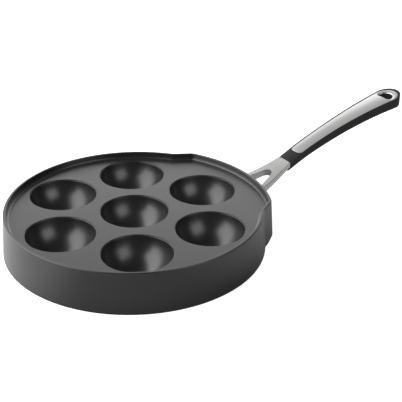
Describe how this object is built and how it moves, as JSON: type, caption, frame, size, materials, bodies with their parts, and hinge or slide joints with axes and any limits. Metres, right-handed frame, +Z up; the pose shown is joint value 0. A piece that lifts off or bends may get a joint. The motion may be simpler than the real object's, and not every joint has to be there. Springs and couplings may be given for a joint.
{
  "type": "aebleskiver pan",
  "caption": "Round cast pan with half-round wells in a flat plate, on a forked steel handle with a black grip and a hanging hole.",
  "frame": {"origin": "on the pan's vertical axis, at the level of the hob that the pan stands on", "axes": "+Z up, +X along the handle from the pan to its tip, +Y to the far side in the picture"},
  "size_m": [0.4474, 0.2402, 0.0795],
  "materials": {
    "non_stick_cast_aluminium": "dark grey non-stick coating, satin",
    "satin_steel": "satin, lightly blasted",
    "brushed_plate_steel": "brushed along the handle",
    "black_moulding": "black, fine grained"
  },
  "bodies": {
    "root": {"pan_body": "non_stick_cast_aluminium", "yoke": "satin_steel", "yoke_rivets": "satin_steel", "grip": "black_moulding", "top_plate": "brushed_plate_steel", "plate_studs": "satin_steel", "grip_screws": "satin_steel", "grip_washers": "satin_steel"}
  },
  "joints": []
}
